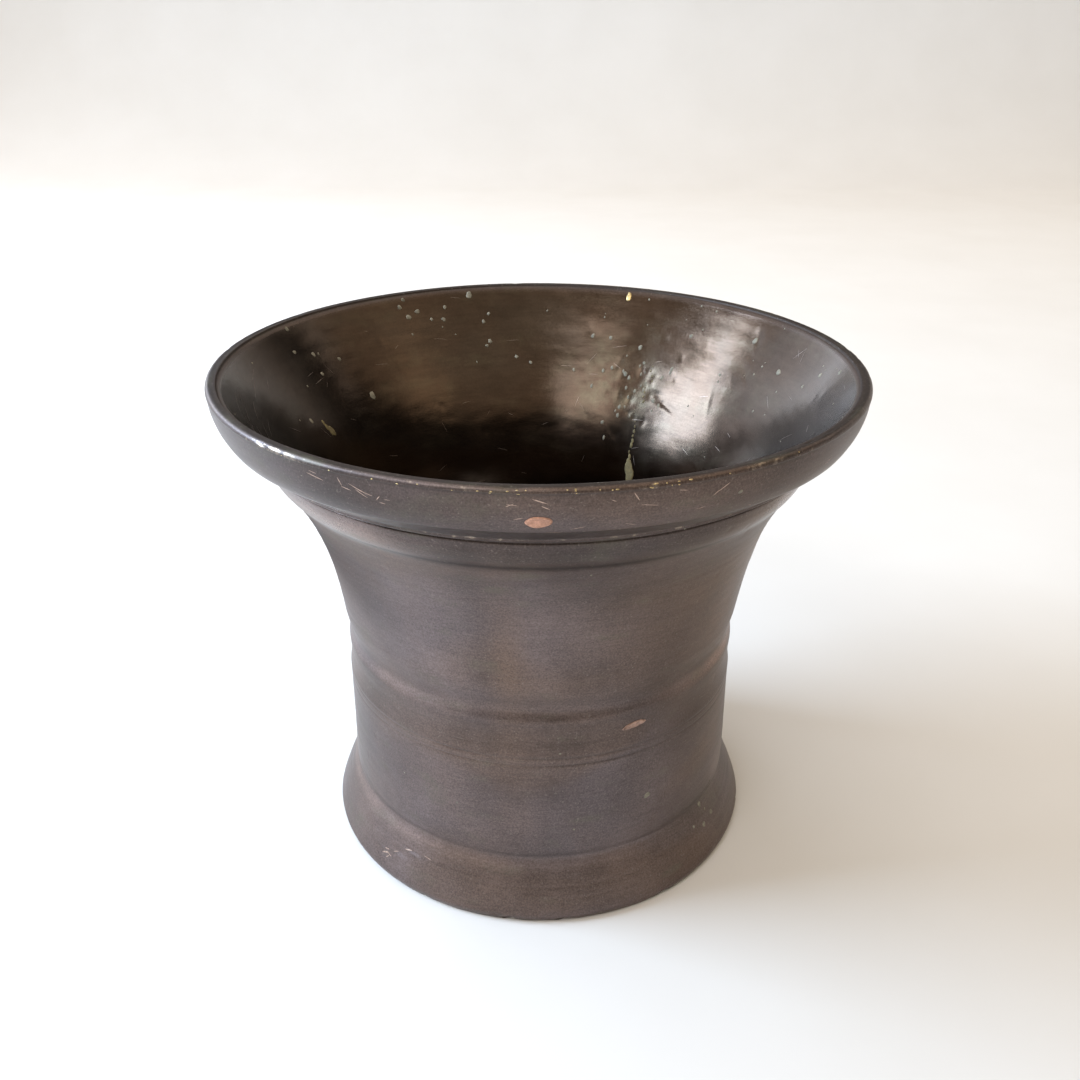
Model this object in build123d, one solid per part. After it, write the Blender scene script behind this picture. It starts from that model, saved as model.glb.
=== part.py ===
from build123d import *
import os
from math import cos, radians, sin

# A cast bronze mortar: one turned casting and two small copper plugs driven into it.
# Millimetres, +Z up, origin at the centre of the foot. The +Y side faces away from the plugs.

# Overall sizes
height = 105.4
rim_radius = 65.0
waist_radius = 42.6

# Lip and the band (fascia) below it, levels measured down from the top
lip_width = 2.6
lip_round = 0.9
lip_inner_round = 0.5
lip_fall = 0.15
bead_step = 0.15
bead_step_height = 0.2
fascia_height = 7.8
fascia_inset = 2.65
fascia_bulge = 0.6

# Cove under the fascia, the fine ridge, and the collar, all going inwards and down
cove_reach = 5.1
cove_height = 3.6
cove_hollow = 0.25
ridge_face = 0.5
ridge_reach = 1.1
ridge_height = 0.7
notch_depth = 0.2
notch_height = 0.4
collar_reach = 2.2
collar_height = 4.9
collar_bulge = 0.25
collar_step = 1.3
collar_step_height = 1.6
body_top_slope = 35.0
body_foot_slope = 5.0

# Belt round the waist
belt_top = 46.9
belt_height = 8.9
belt_hollow = 0.4
belt_ledge = 0.3
belt_ledge_height = 0.5
belt_line_count = 2
belt_line_pitch = 1.7
line_depth = 0.3
line_width = 0.8

# Foot
crease_level = 13.4
crease_depth = 0.45
crease_height = 0.5
wall_swell = 0.3
foot_reach = 4.8
foot_bulge = 0.3
foot_edge_level = 1.8
foot_edge_inset = 0.7
recess_radius = 37.0
recess_depth = 2.0
recess_slope_width = 1.6

# Inside of the bowl
collar_wall = 5.0
waist_wall = 6.6
floor_thickness = 14.0
mouth_slope = 36.0
well_slope = 4.0

# Oval copper plug in the fascia, on the -Y side
rim_plug_width = 4.2
rim_plug_height = 2.5
rim_plug_drop = 6.2
rim_plug_depth = 1.2
rim_plug_dish = 0.5
rim_plug_dish_radius = 3.5

# Oblong copper plug in the belt, turned from the -Y side towards +X
belt_plug_width = 4.8
belt_plug_height = 1.9
belt_plug_corner = 0.4
belt_plug_drop = 3.8
belt_plug_angle = 26.0
belt_plug_depth = 2.5

# Side clearance of a plug in its pocket
plug_gap = 0.02

# Radii and levels that follow from the sizes above
fascia_low_radius = rim_radius - fascia_inset
fascia_low_level = height - lip_round - fascia_height
ridge_radius = fascia_low_radius - cove_reach
ridge_level = fascia_low_level - cove_height
collar_top_radius = ridge_radius - ridge_reach
collar_top_level = ridge_level - ridge_face - ridge_height - notch_height
collar_low_radius = collar_top_radius - collar_reach
collar_low_level = collar_top_level - collar_height
body_top_radius = collar_low_radius - collar_step
body_top_level = collar_low_level - collar_step_height
belt_bottom = belt_top - belt_height
foot_radius = waist_radius + foot_reach
well_radius = waist_radius - waist_wall


def bowed(start, end, bow):
    """Arc from start to end whose middle stands bow to the right of the chord (negative: left)."""
    run = end[0] - start[0]
    rise = end[1] - start[1]
    chord = (run**2 + rise**2) ** 0.5
    middle_radius = (start[0] + end[0]) / 2 + bow * rise / chord
    middle_level = (start[1] + end[1]) / 2 - bow * run / chord
    return ThreePointArc(start, (middle_radius, middle_level), end)


def leaning(angle, direction):
    """Unit vector that leans angle degrees outwards from straight up, turned by direction."""
    return (direction * sin(radians(angle)), direction * cos(radians(angle)))


def foot_outline():
    """From the foot's flat to the bottom of the body's wall."""
    ground = (foot_radius - foot_edge_inset, 0)
    edge = (foot_radius, foot_edge_level)
    crease = (waist_radius + wall_swell - crease_depth, crease_level)
    wall_foot = (waist_radius + wall_swell, crease_level + crease_height)
    outline = bowed(ground, edge, foot_edge_inset / 4)
    outline += bowed(edge, crease, foot_bulge)
    outline += Line(crease, wall_foot)
    outline += Line(wall_foot, (waist_radius, belt_bottom))
    return outline


def belt_outline():
    """The belt's hollow face, its top ledge, and the flaring wall up to the collar."""
    bottom = (waist_radius, belt_bottom)
    top = (waist_radius, belt_top)
    ledge = (waist_radius - belt_ledge, belt_top + belt_ledge_height)
    body_top = (body_top_radius, body_top_level)
    outline = bowed(bottom, top, -belt_hollow)
    outline += Line(top, ledge)
    slopes = [leaning(body_foot_slope, 1), leaning(body_top_slope, 1)]
    outline += Spline(ledge, body_top, tangents=slopes)
    return outline


def rim_outline():
    """Collar, fine ridge, cove, fascia and lip, from the body's top to the mouth."""
    body_top = (body_top_radius, body_top_level)
    collar_low = (collar_low_radius, collar_low_level)
    collar_top = (collar_top_radius, collar_top_level)
    notch = (collar_top_radius - notch_depth, collar_top_level + notch_height)
    ridge_low = (ridge_radius, ridge_level - ridge_face)
    ridge = (ridge_radius, ridge_level)
    fascia_low = (fascia_low_radius, fascia_low_level)
    fascia_top = (rim_radius - bead_step, height - lip_round - bead_step_height)
    bead_low = (rim_radius, height - lip_round)
    bead_top = (rim_radius - lip_round, height)
    bead_inset = lip_round * (1 - cos(radians(45)))
    bead_middle = (rim_radius - bead_inset, height - bead_inset)
    lip_inner = (rim_radius - lip_width + lip_inner_round, height - lip_fall)
    mouth = (rim_radius - lip_width, height - lip_fall - lip_inner_round)
    outline = Line(body_top, collar_low)
    outline += bowed(collar_low, collar_top, collar_bulge)
    outline += Polyline(collar_top, notch, ridge_low, ridge)
    outline += bowed(ridge, fascia_low, -cove_hollow)
    outline += bowed(fascia_low, fascia_top, fascia_bulge)
    outline += Line(fascia_top, bead_low)
    outline += ThreePointArc(bead_low, bead_middle, bead_top)
    outline += Line(bead_top, lip_inner)
    outline += bowed(lip_inner, mouth, -lip_inner_round / 4)
    return outline


def bowl_outline():
    """Inside of the bowl: a flare down to the waist, then half an ellipse to the middle."""
    mouth = (rim_radius - lip_width, height - lip_fall - lip_inner_round)
    collar = (collar_low_radius - collar_wall, collar_low_level)
    well = (well_radius, belt_top)
    slopes = [leaning(mouth_slope, -1), leaning(well_slope, -1)]
    outline = Spline(mouth, collar, well, tangents=slopes)
    outline += EllipticalCenterArc(
        (0, belt_top), well_radius, belt_top - floor_thickness, start_angle=270, arc_size=90
    )
    return outline


def underside_outline():
    """The middle of the floor, the shallow recess under the foot, and the foot's flat."""
    slope_top = recess_radius - recess_slope_width
    ground = (foot_radius - foot_edge_inset, 0)
    return Polyline(
        (0, floor_thickness), (0, recess_depth), (slope_top, recess_depth), (recess_radius, 0), ground
    )


def make_blank():
    """The casting before its lines are cut and its plug pockets are drilled."""
    outline = foot_outline() + belt_outline() + rim_outline() + bowl_outline() + underside_outline()
    section = make_face(Plane.XZ * outline)
    return revolve(section, axis=Axis.Z)


def make_line(radius, level):
    """Ring with a V section, which cuts one line round the outside."""
    root = (radius - line_depth, level)
    below = (radius + line_depth, level - line_width)
    above = (radius + line_depth, level + line_width)
    section = make_face(Polyline(root, below, above, close=True))
    return revolve(Plane.XZ * section, axis=Axis.Z)


def front_seat(radius, level):
    """Flat seat at the bottom of a pocket, facing -Y, where a plug's inner end rests."""
    return Plane((0, -radius, level), x_dir=(1, 0, 0), z_dir=(0, -1, 0))


def rim_plug_blank(gap):
    """Oval bar along Y, from its seat in the fascia's wall out past the rim."""
    seat = front_seat(fascia_low_radius - rim_plug_depth, height - rim_plug_drop)
    oval = Ellipse(rim_plug_width / 2 + gap, rim_plug_height / 2 + gap)
    return extrude(seat * oval, rim_plug_depth + 2 * fascia_inset)


def belt_plug_blank(gap):
    """Oblong bar along the radius at the plug's angle, from its seat out past the belt."""
    turn = Rot(0, 0, belt_plug_angle)
    seat = front_seat(waist_radius - belt_plug_depth, belt_top - belt_plug_drop)
    oblong = RectangleRounded(belt_plug_width + 2 * gap, belt_plug_height + 2 * gap, belt_plug_corner + gap)
    return turn * extrude(seat * oblong, 2 * belt_plug_depth)


def make_rim_plug(blank):
    """Plug trimmed flush with the fascia, with a shallow dished face."""
    plug = rim_plug_blank(0) & blank
    upper_edge = -plug.bounding_box().min.Y
    centre = (0, rim_plug_dish - rim_plug_dish_radius - upper_edge, height - rim_plug_drop)
    return plug - Pos(*centre) * Sphere(rim_plug_dish_radius)


def make_belt_plug(blank):
    """Plug trimmed flush with the belt."""
    return belt_plug_blank(0) & blank


def make_body(blank):
    """The casting, with the belt's lines cut and the two pockets drilled."""
    body = blank
    for index in range(belt_line_count):
        body -= make_line(waist_radius, belt_bottom - index * belt_line_pitch)
    body -= rim_plug_blank(plug_gap)
    body -= belt_plug_blank(plug_gap)
    return body


os.makedirs("parts", exist_ok=True)
casting = make_blank()
nodes = {
    "mortar_body": make_body(casting),
    "rim_plug": make_rim_plug(casting),
    "belt_plug": make_belt_plug(casting),
}
for name, shape in nodes.items():
    export_step(shape, f"parts/{name}.step")
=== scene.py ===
import math

import bpy
import numpy as np
from mathutils import Euler, Matrix, Vector


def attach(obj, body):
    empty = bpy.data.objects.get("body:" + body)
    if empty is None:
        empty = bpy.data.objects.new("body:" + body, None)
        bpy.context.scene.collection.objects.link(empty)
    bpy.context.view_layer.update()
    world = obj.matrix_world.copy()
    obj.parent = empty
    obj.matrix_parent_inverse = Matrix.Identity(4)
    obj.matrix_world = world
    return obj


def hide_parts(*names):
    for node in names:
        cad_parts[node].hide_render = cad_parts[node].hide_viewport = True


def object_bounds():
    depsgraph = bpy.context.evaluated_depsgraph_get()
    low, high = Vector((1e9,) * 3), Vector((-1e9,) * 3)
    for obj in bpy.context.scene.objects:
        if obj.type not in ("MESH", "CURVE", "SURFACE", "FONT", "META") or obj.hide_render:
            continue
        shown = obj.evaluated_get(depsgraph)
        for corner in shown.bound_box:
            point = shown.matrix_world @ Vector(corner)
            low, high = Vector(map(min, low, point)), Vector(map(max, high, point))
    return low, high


# An antique bronze mortar. The turned body is a lathed mesh with dents, casting pits, tool lines and a
# worn edge; two copper plugs, crusts of verdigris and scratches are separate small meshes on it.
# Sizes of the object are in mm. Azimuth 0 is the side that faces -Y, and it grows towards +X.

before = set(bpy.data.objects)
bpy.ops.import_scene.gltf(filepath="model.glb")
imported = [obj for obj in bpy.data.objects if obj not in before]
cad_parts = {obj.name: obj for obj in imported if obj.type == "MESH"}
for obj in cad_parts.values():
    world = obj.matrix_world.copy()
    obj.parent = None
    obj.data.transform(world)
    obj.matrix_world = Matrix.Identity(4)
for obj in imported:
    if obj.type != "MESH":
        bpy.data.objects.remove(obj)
cad_low, cad_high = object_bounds()
MM = 0.001

# -------------------- sizes, as in the CAD
HEIGHT = cad_high[2] / MM
RIM_RADIUS = cad_high[0] / MM
WAIST_RADIUS = 42.6
LIP_WIDTH, LIP_ROUND, LIP_INNER_ROUND, LIP_FALL = 2.6, 0.9, 0.5, 0.15
FASCIA_TOP_INSET, FASCIA_TOP_DROP = 0.15, 1.1
FASCIA_LOW_RADIUS, FASCIA_LOW_LEVEL, FASCIA_BULGE = RIM_RADIUS - 2.65, HEIGHT - 8.7, 0.6
RIDGE_RADIUS, RIDGE_LEVEL = FASCIA_LOW_RADIUS - 5.1, FASCIA_LOW_LEVEL - 3.6
COLLAR_TOP_RADIUS, COLLAR_TOP_LEVEL = RIDGE_RADIUS - 1.1, RIDGE_LEVEL - 1.6
COLLAR_LOW_RADIUS, COLLAR_LOW_LEVEL = COLLAR_TOP_RADIUS - 2.2, COLLAR_TOP_LEVEL - 4.9
BODY_TOP_RADIUS, BODY_TOP_LEVEL = COLLAR_LOW_RADIUS - 1.3, COLLAR_LOW_LEVEL - 1.6
BELT_TOP, BELT_HOLLOW = 46.9, 0.4
BELT_LINES = (38.0, 36.3)
LINE_DEPTH, LINE_HALF_WIDTH = 0.2, 0.42
CREASE_RADIUS, CREASE_LEVEL = 42.45, 13.4
WALL_FOOT_RADIUS, WALL_FOOT_LEVEL = 42.9, 13.9
FOOT_RADIUS, FOOT_EDGE_LEVEL, FOOT_EDGE_INSET = WAIST_RADIUS + 4.8, 1.8, 0.7
RECESS_RADIUS, RECESS_SLOPE, RECESS_DEPTH = 37.0, 1.6, 2.0
WELL_RADIUS, FLOOR_THICKNESS = WAIST_RADIUS - 6.6, 14.0
MOUTH_SLOPE, WELL_SLOPE, BODY_TOP_SLOPE, BODY_FOOT_SLOPE = 36.0, 4.0, 35.0, 5.0

RIM_PLUG_AT = (0.0, HEIGHT - 6.2)  # azimuth, level
BELT_PLUG_AT = (26.0, BELT_TOP - 3.8)

TURNS = 640  # points round each ring of the lathed mesh


# -------------------- the profile, in mm
def straight(start, end, step):
    """Points from start up to, but not including, end."""
    length = math.hypot(end[0] - start[0], end[1] - start[1])
    count = max(1, math.ceil(length / step))
    return [(start[0] + (end[0] - start[0]) * i / count, start[1] + (end[1] - start[1]) * i / count)
            for i in range(count)]


def bowed(start, end, bow, step):
    """Points on a shallow arc whose middle stands bow to the right of the chord."""
    run, rise = end[0] - start[0], end[1] - start[1]
    chord = math.hypot(run, rise)
    points = []
    for radius, level in straight(start, end, step):
        share = math.hypot(radius - start[0], level - start[1]) / chord
        lift = 4 * bow * share * (1 - share)
        points.append((radius + lift * rise / chord, level - lift * run / chord))
    return points


def swept(start, end, start_angle, end_angle, upwards, pull, step):
    """Points on a cubic that leaves start and meets end leaning outwards by the two angles."""
    chord = math.hypot(end[0] - start[0], end[1] - start[1])
    reach = chord * pull * upwards
    leave = (math.sin(math.radians(start_angle)) * reach, math.cos(math.radians(start_angle)) * reach)
    arrive = (math.sin(math.radians(end_angle)) * reach, math.cos(math.radians(end_angle)) * reach)
    count = math.ceil(chord * 1.05 / step)
    points = []
    for i in range(count):
        t = i / count
        a, b = 2 * t**3 - 3 * t**2 + 1, t**3 - 2 * t**2 + t
        c, d = 3 * t**2 - 2 * t**3, t**3 - t**2
        points.append(tuple(a * start[k] + b * leave[k] + c * end[k] + d * arrive[k] for k in range(2)))
    return points


def outer_profile():
    """From the foot's flat up to the top of the lip's bead."""
    foot = (FOOT_RADIUS - FOOT_EDGE_INSET, 0)
    edge = (FOOT_RADIUS, FOOT_EDGE_LEVEL)
    crease = (CREASE_RADIUS, CREASE_LEVEL)
    wall_foot = (WALL_FOOT_RADIUS, WALL_FOOT_LEVEL)
    below_lines = (WAIST_RADIUS, BELT_LINES[1] - 0.8)
    above_lines = (WAIST_RADIUS, BELT_LINES[0] + 0.7)
    belt_top = (WAIST_RADIUS, BELT_TOP)
    ledge = (WAIST_RADIUS - 0.35, BELT_TOP + 0.5)
    body_top = (BODY_TOP_RADIUS, BODY_TOP_LEVEL)
    collar_low = (COLLAR_LOW_RADIUS, COLLAR_LOW_LEVEL)
    collar_top = (COLLAR_TOP_RADIUS, COLLAR_TOP_LEVEL)
    notch = (COLLAR_TOP_RADIUS - 0.2, COLLAR_TOP_LEVEL + 0.4)
    ridge_low = (RIDGE_RADIUS, RIDGE_LEVEL - 0.5)
    ridge = (RIDGE_RADIUS, RIDGE_LEVEL)
    fascia_low = (FASCIA_LOW_RADIUS, FASCIA_LOW_LEVEL)
    fascia_top = (RIM_RADIUS - FASCIA_TOP_INSET, HEIGHT - FASCIA_TOP_DROP)
    bead_low = (RIM_RADIUS, HEIGHT - LIP_ROUND)
    points = bowed(foot, edge, FOOT_EDGE_INSET / 4, 0.3)
    points += bowed(edge, crease, 0.3, 0.4)
    points += straight(crease, wall_foot, 0.2)
    points += straight(wall_foot, below_lines, 0.5)
    points += straight(below_lines, above_lines, 0.14)
    points += bowed(above_lines, belt_top, -BELT_HOLLOW, 0.35)
    points += straight(belt_top, ledge, 0.15)
    points += swept(ledge, body_top, BODY_FOOT_SLOPE, BODY_TOP_SLOPE, 1, 1.0, 0.5)
    points += straight(body_top, collar_low, 0.3)
    points += bowed(collar_low, collar_top, 0.25, 0.35)
    points += straight(collar_top, notch, 0.15)
    points += straight(notch, ridge_low, 0.2)
    points += straight(ridge_low, ridge, 0.15)
    points += bowed(ridge, fascia_low, -0.25, 0.35)
    points += bowed(fascia_low, fascia_top, FASCIA_BULGE, 0.35)
    points += straight(fascia_top, bead_low, 0.1)
    for i in range(9):
        turn = math.radians(90 * i / 9)
        radius = RIM_RADIUS - LIP_ROUND * (1 - math.cos(turn))
        points.append((radius, HEIGHT - LIP_ROUND * (1 - math.sin(turn))))
    return points


def inner_profile():
    """From the top of the bead over the lip and down the bowl, to near its middle."""
    bead_top = (RIM_RADIUS - LIP_ROUND, HEIGHT)
    lip_inner = (RIM_RADIUS - LIP_WIDTH + LIP_INNER_ROUND, HEIGHT - LIP_FALL)
    mouth = (RIM_RADIUS - LIP_WIDTH, HEIGHT - LIP_FALL - LIP_INNER_ROUND)
    well = (WELL_RADIUS, BELT_TOP)
    points = straight(bead_top, lip_inner, 0.25)
    points += bowed(lip_inner, mouth, -LIP_INNER_ROUND / 4, 0.1)
    points += swept(mouth, well, MOUTH_SLOPE, WELL_SLOPE, -1, 1.3, 0.6)
    depth = BELT_TOP - FLOOR_THICKNESS
    bowl_rings, last_turn = 60, 88.5
    for i in range(bowl_rings):
        turn = math.radians(last_turn * i / (bowl_rings - 1))
        points.append((WELL_RADIUS * math.cos(turn), BELT_TOP - depth * math.sin(turn)))
    return points


def under_profile():
    """From near the middle of the floor's underside out to the foot's flat."""
    inner = (RECESS_RADIUS - RECESS_SLOPE, RECESS_DEPTH)
    points = straight((0.8, RECESS_DEPTH), inner, 1.2)
    points += straight(inner, (RECESS_RADIUS, 0), 0.5)
    points += straight((RECESS_RADIUS, 0), (FOOT_RADIUS - FOOT_EDGE_INSET, 0), 0.8)
    return points


# -------------------- relief over the profile
def ripple(angle, along, waves, turns, pitch, seed):
    """Smooth noise, about -1 to 1, joined up round the ring: up to turns waves round, pitch mm along."""
    rng = np.random.default_rng(seed)
    total = np.zeros(np.broadcast(angle, along).shape)
    for _ in range(waves):
        around = rng.integers(-turns, turns + 1)
        stretch = rng.normal() * 2 * math.pi / pitch
        total += np.cos(around * angle + stretch * along + rng.uniform(0, 2 * math.pi))
    return total / math.sqrt(waves)


def round_ripple(angle, waves, turns, seed):
    """Noise that changes round the ring only."""
    return ripple(angle, 0.0, waves, turns, 1.0, seed)


def smooth(low, high, value):
    """0 at low, 1 at high, smooth between; low may be the larger."""
    t = np.clip((value - low) / (high - low), 0, 1)
    return t * t * (3 - 2 * t)


def band(value, middle, width):
    """Soft band, 1 at its middle."""
    return np.exp(-(((value - middle) / width) ** 2))


def wrapped(angle):
    return (angle + math.pi) % (2 * math.pi) - math.pi


# Levels between which wear and casting rounded the profile, with the strength of it: above the belt,
# at the crease over the foot, under the collar and at the ridge.
SOFT_EDGES = ((43.0, 53.0, 26), (11.0, 16.5, 12), (84.0, 87.6, 1), (92.2, 93.9, 1))
TOOL_LINES = (  # level, depth
    (57.2, 0.07), (56.1, 0.05), (60.4, 0.03), (30.5, 0.03), (8.9, 0.1), (5.2, 0.05), (10.1, 0.04),
    (7.5, 0.05), (6.3, 0.04), (4.0, 0.04), (3.1, 0.05),
)
INNER_DENTS = (  # azimuth, level, half width, half height, tilt, depth
    (140, 83, 2.6, 0.7, 10, 0.16), (137, 82, 2.2, 0.6, 14, 0.14), (143, 84.5, 2.0, 0.6, 6, 0.14),
    (139, 80.6, 2.2, 0.6, 20, 0.12), (122, 91, 2.4, 0.5, 35, 0.07), (120, 94, 2.6, 0.5, 30, 0.07),
    (121, 97, 2.2, 0.5, 22, 0.06), (118, 92.5, 2.0, 0.45, 28, 0.06), (122, 100.6, 0.8, 2.2, -35, 0.14),
    (126, 86, 0.5, 2.6, -24, 0.08), (164, 82, 3.2, 4.4, 0, -0.10), (150, 88, 1.2, 1.8, 0, 0.12),
)
OUTER_DENTS = (
    (-47, 4.6, 2.6, 0.9, -12, 0.35), (-41, 7.2, 1.9, 0.7, -8, 0.25), (-36, 8.6, 2.4, 0.5, -5, 0.2),
    (31, 24.5, 1.0, 1.3, 0, 0.12), (0, 77, 5, 7, 0, 0.08), (-19, 41, 1.2, 0.9, 0, 0.12),
)


class Surface:
    """The lathed grid: rings along the profile by points round it, in mm, with normals and masks."""

    def __init__(self):
        under, outer, inner = under_profile(), outer_profile(), inner_profile()
        self.first_outer, self.first_inner = len(under), len(under) + len(outer)
        profile = self.soften(np.array(under + outer + inner))
        self.radius, self.level = profile[:, :1], profile[:, 1:]
        self.rings = len(profile)
        step = np.hypot(*np.gradient(profile, axis=0).T)
        self.along = np.cumsum(step)[:, None]
        tangent = np.gradient(profile, axis=0) / step[:, None]
        self.normal = np.stack([tangent[:, 1], -tangent[:, 0]], axis=1)
        index = np.arange(self.rings)[:, None]
        self.is_under = (index < self.first_outer).astype(float)
        self.is_inner = (index >= self.first_inner + 3).astype(float)
        self.is_outer = 1 - self.is_under - self.is_inner
        self.angle = (np.arange(TURNS) * 2 * math.pi / TURNS)[None, :]
        self.relief = self.make_relief()
        self.grid = self.make_grid()

    def soften(self, profile):
        """Rounds the outside at the soft edges."""
        index = np.arange(len(profile))
        for low, high, passes in SOFT_EDGES:
            zone = (profile[:, 1] > low) & (profile[:, 1] < high)
            zone &= (index > self.first_outer) & (index < self.first_inner)
            for _ in range(passes):
                blend = (profile[:-2] + 2 * profile[1:-1] + profile[2:]) / 4
                profile[1:-1] = np.where(zone[1:-1, None], blend, profile[1:-1])
        return profile

    def spot(self, at, wide, tall, tilt=0.0):
        """Soft round or long mark, 1 in its middle: at (azimuth in degrees, level), half sizes in mm."""
        across = wrapped(self.angle - math.radians(at[0])) * self.radius
        up = self.level - at[1]
        c, s = math.cos(math.radians(tilt)), math.sin(math.radians(tilt))
        a, b = (across * c + up * s) / wide, (up * c - across * s) / tall
        return np.exp(-(a * a + b * b))

    def spots(self, marks):
        """Sum of marks, each (azimuth, level, half width, half height, amount)."""
        return sum(amount * self.spot((azimuth, level), wide, tall)
                   for azimuth, level, wide, tall, amount in marks)

    def make_relief(self):
        """How far each point stands out from the turned profile, in mm."""
        a, s, z = self.angle, self.along, self.level
        rim_calm = 1 - 0.75 * smooth(HEIGHT - 10, HEIGHT - 6, z) * self.is_outer
        relief = 0.045 * ripple(a, s, 24, 9, 26, 1) * rim_calm
        relief += 0.012 * ripple(a, s, 40, 40, 7, 2) * rim_calm
        relief += self.is_inner * (0.035 * ripple(a, s, 22, 6, 30, 3) + 0.007 * ripple(a, s, 40, 30, 8, 4))
        relief += 0.012 * ripple(a, s, 30, 0, 2.6, 5) * self.is_outer
        relief -= self.tool_marks() * self.is_outer
        shoulder = smooth(BELT_TOP - 1.3, BELT_TOP + 2.0, z) * band(z, BELT_TOP + 1.7, 3.4)
        relief -= (0.72 + 0.10 * round_ripple(a, 14, 8, 13)) * shoulder * self.is_outer
        relief += self.inner_dents() + self.outer_dents()
        edge = smooth(HEIGHT - 1.6, HEIGHT - 0.9, z) * (1 - self.is_inner)
        nicks = np.clip(ripple(a, s, 50, 70, 3, 8) - 0.9, 0, 1)
        relief -= edge * (0.03 + 0.16 * nicks)
        chips = np.clip(ripple(a, s, 50, 60, 5, 9) - 0.6, 0, 1)
        relief -= smooth(2.6, 1.2, z) * self.is_outer * (0.05 + 0.45 * chips)
        return relief * (1 - self.is_under)

    def tool_marks(self):
        """Depth of the belt's lines, clearest in front, and of broken turning lines."""
        a, z = self.angle, self.level
        depth = np.zeros((self.rings, TURNS))
        clear = smooth(0.3, 0.95, np.cos(a - 0.05)) * np.clip(0.8 + round_ripple(a, 10, 12, 14), 0.3, 1)
        for level in BELT_LINES:
            drift = 0.05 * np.sin(a + level)
            groove = np.clip(1 - np.abs(z + drift - level) / LINE_HALF_WIDTH, 0, 1)
            depth += LINE_DEPTH * groove * (0.3 + 0.7 * clear)
        for level, deepest in TOOL_LINES:
            broken = np.clip(0.4 + round_ripple(a, 12, 9, int(level * 10)), 0, 1)
            depth += deepest * band(z, level, 0.4) * broken
        return depth

    def dents(self, marks):
        """Sum of named blows, as a negative height."""
        total = np.zeros((self.rings, TURNS))
        for azimuth, level, wide, tall, tilt, depth in marks:
            total -= depth * self.spot((azimuth, level), wide, tall, tilt)
        return total

    def pits(self, rng, count, place, sizes, depths, stretches):
        """Sum of small pits, as a negative height; place() draws the azimuth and level of one."""
        total = np.zeros((self.rings, TURNS))
        for _ in range(count):
            at, size, depth = place(), rng.uniform(*sizes), rng.uniform(*depths)
            total -= depth * self.spot(at, size, size * rng.uniform(*stretches))
        return total

    def inner_dents(self):
        """Blows and pits on the inside: a battered patch at the back right, and scattered pits."""
        rng = np.random.default_rng(11)
        total = self.dents(INNER_DENTS)
        total += self.pits(rng, 46, lambda: (rng.normal(153, 9), rng.normal(86, 5)),
                           (0.4, 0.9), (0.03, 0.10), (0.8, 1.6))
        total += self.pits(rng, 120, lambda: (rng.uniform(-180, 180), rng.uniform(40, 102)),
                           (0.35, 0.9), (0.01, 0.06), (0.8, 1.5))
        return total * self.is_inner

    def outer_dents(self):
        """Knocks and small casting pits on the outside, and seats for the two plugs."""
        rng = np.random.default_rng(12)
        total = self.dents(OUTER_DENTS)
        total += self.pits(rng, 220, lambda: (rng.uniform(-180, 180), rng.uniform(2, 103)),
                           (0.3, 0.7), (0.02, 0.1), (0.6, 1.4))
        total -= 0.45 * self.spot(RIM_PLUG_AT, 1.5, 0.9) + 0.3 * self.spot(BELT_PLUG_AT, 1.7, 0.65)
        return total * self.is_outer

    def make_grid(self):
        """Point positions in mm. The waist leans a little to +X, and nothing leaves the CAD box."""
        a = self.angle
        radius = self.radius + self.relief * self.normal[:, :1]
        level = self.level + self.relief * self.normal[:, 1:]
        radius = np.minimum(radius, RIM_RADIUS - 0.01)
        level = np.clip(level, 0, HEIGHT - 0.01)
        lean = 0.35 * (1 - smooth(60, 95, self.level))
        swell = 0.45 * band(self.level, 68, 12) * band(wrapped(a - math.pi / 2), 0, 0.7)
        radius = radius + swell * self.is_outer
        x = radius * np.sin(a) + lean
        y = -radius * np.cos(a)
        return np.stack([x, y, np.broadcast_to(level, x.shape)], axis=2)

    def ring_at(self, level, inside):
        """Fractional ring number at a level, on the outside or the inside."""
        if inside:
            rings = np.arange(self.first_inner + 3, self.rings)
            return float(np.interp(-level, -self.level[rings, 0], rings))
        rings = np.arange(self.first_outer, self.first_inner)
        return float(np.interp(level, self.level[rings, 0], rings))

    def point(self, azimuth, level, inside):
        """Position and outward normal at an azimuth in degrees and a level in mm."""
        j = self.ring_at(level, inside)
        i = (azimuth % 360) / 360 * TURNS
        j0, i0 = int(j), int(i)
        j1, i1 = min(j0 + 1, self.rings - 1), (i0 + 1) % TURNS
        fj, fi = j - j0, i - i0
        low = self.grid[j0, i0 % TURNS] * (1 - fi) + self.grid[j0, i1] * fi
        high = self.grid[j1, i0 % TURNS] * (1 - fi) + self.grid[j1, i1] * fi
        position = low * (1 - fj) + high * fj
        flat = self.normal[j0]
        turn = math.radians(azimuth)
        normal = np.array([flat[0] * math.sin(turn), -flat[0] * math.cos(turn), flat[1]])
        return position, normal


def make_mesh(name, vertices, faces):
    """Smooth-shaded object from points in mm and faces."""
    mesh = bpy.data.meshes.new(name)
    mesh.from_pydata((np.asarray(vertices) * MM).tolist(), [], [tuple(int(v) for v in f) for f in faces])
    mesh.validate()
    mesh.update()
    mesh.polygons.foreach_set("use_smooth", [True] * len(mesh.polygons))
    thing = bpy.data.objects.new(name, mesh)
    bpy.context.scene.collection.objects.link(thing)
    return thing


def paint(thing, name, values):
    """Stores one number per point for the materials to read."""
    layer = thing.data.attributes.new(name, "FLOAT", "POINT")
    layer.data.foreach_set("value", np.asarray(values, dtype=np.float32).ravel())


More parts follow.
